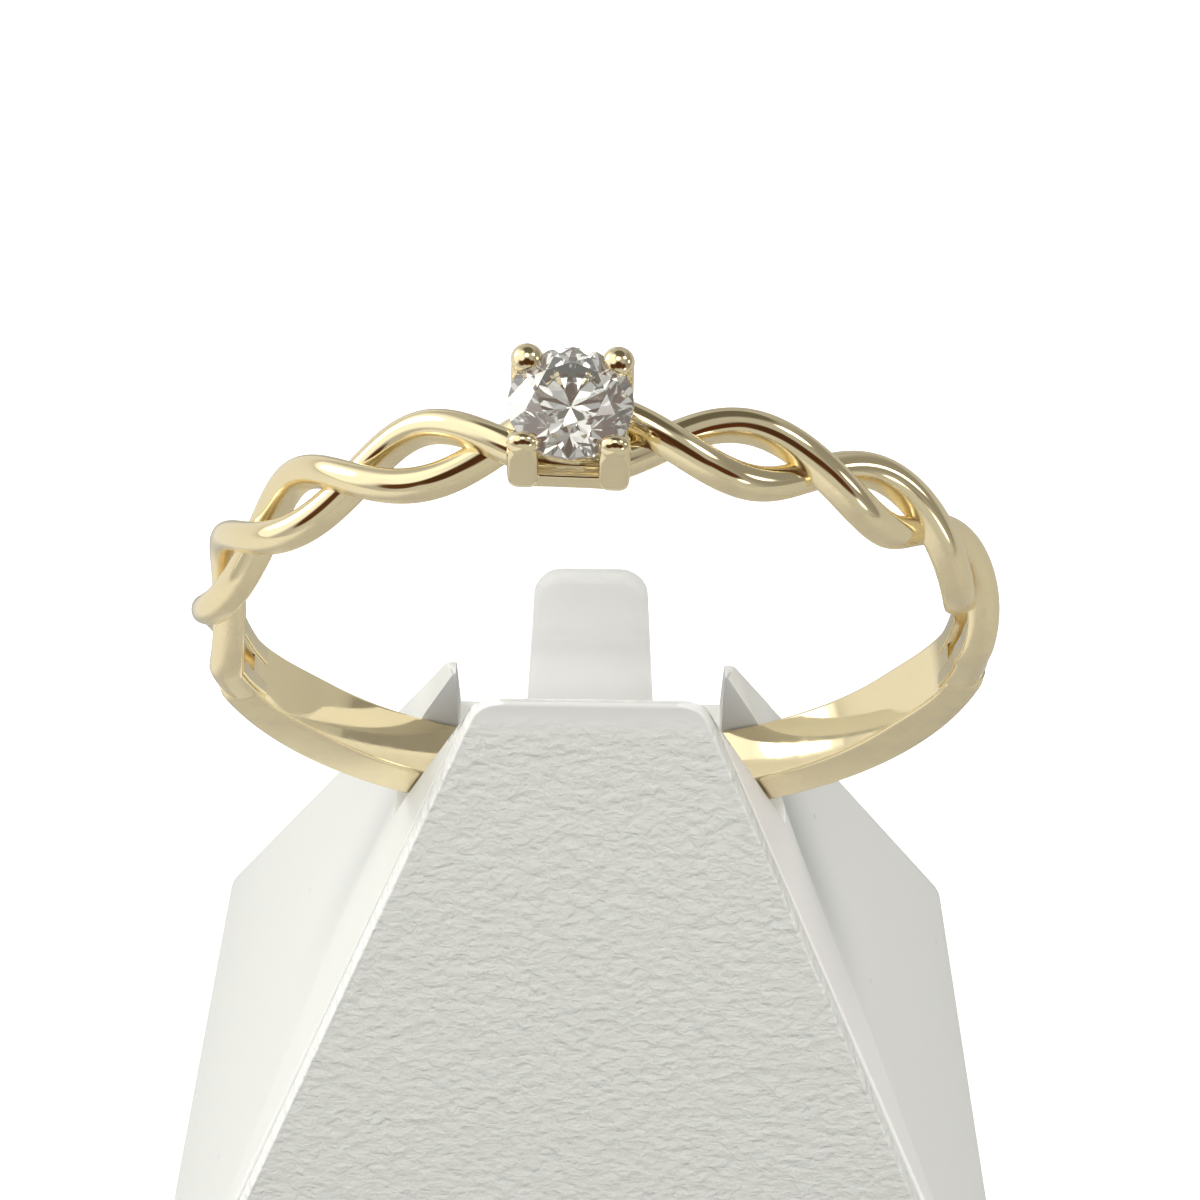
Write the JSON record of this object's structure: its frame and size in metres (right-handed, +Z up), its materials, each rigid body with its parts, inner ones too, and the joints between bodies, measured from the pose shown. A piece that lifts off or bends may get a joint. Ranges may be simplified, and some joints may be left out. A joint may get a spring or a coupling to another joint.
{
  "type": "diamond solitaire ring on a ring stand",
  "caption": "Slim yellow gold ring with a twisted wire upper half and a small round brilliant in a square claw head, standing in the slot of a plain white ring stand.",
  "frame": {"origin": "centre of the bottom face of the stand's base", "axes": "+Z up, -Y towards the front of the stand, where its grained panel is, and the finger goes through the ring along Y"},
  "size_m": [0.0262, 0.0184, 0.0452],
  "materials": {
    "gold": "polished yellow gold",
    "diamond": "cut and polished",
    "stand_white": "smooth satin white",
    "panel_grain": "fine grained pale grey leatherette",
    "tongue_white": "smooth satin white"
  },
  "bodies": {
    "root": {"gold_ring": "gold", "diamond": "diamond", "stand_body": "stand_white", "front_panel": "panel_grain", "tongue": "tongue_white"}
  },
  "joints": []
}
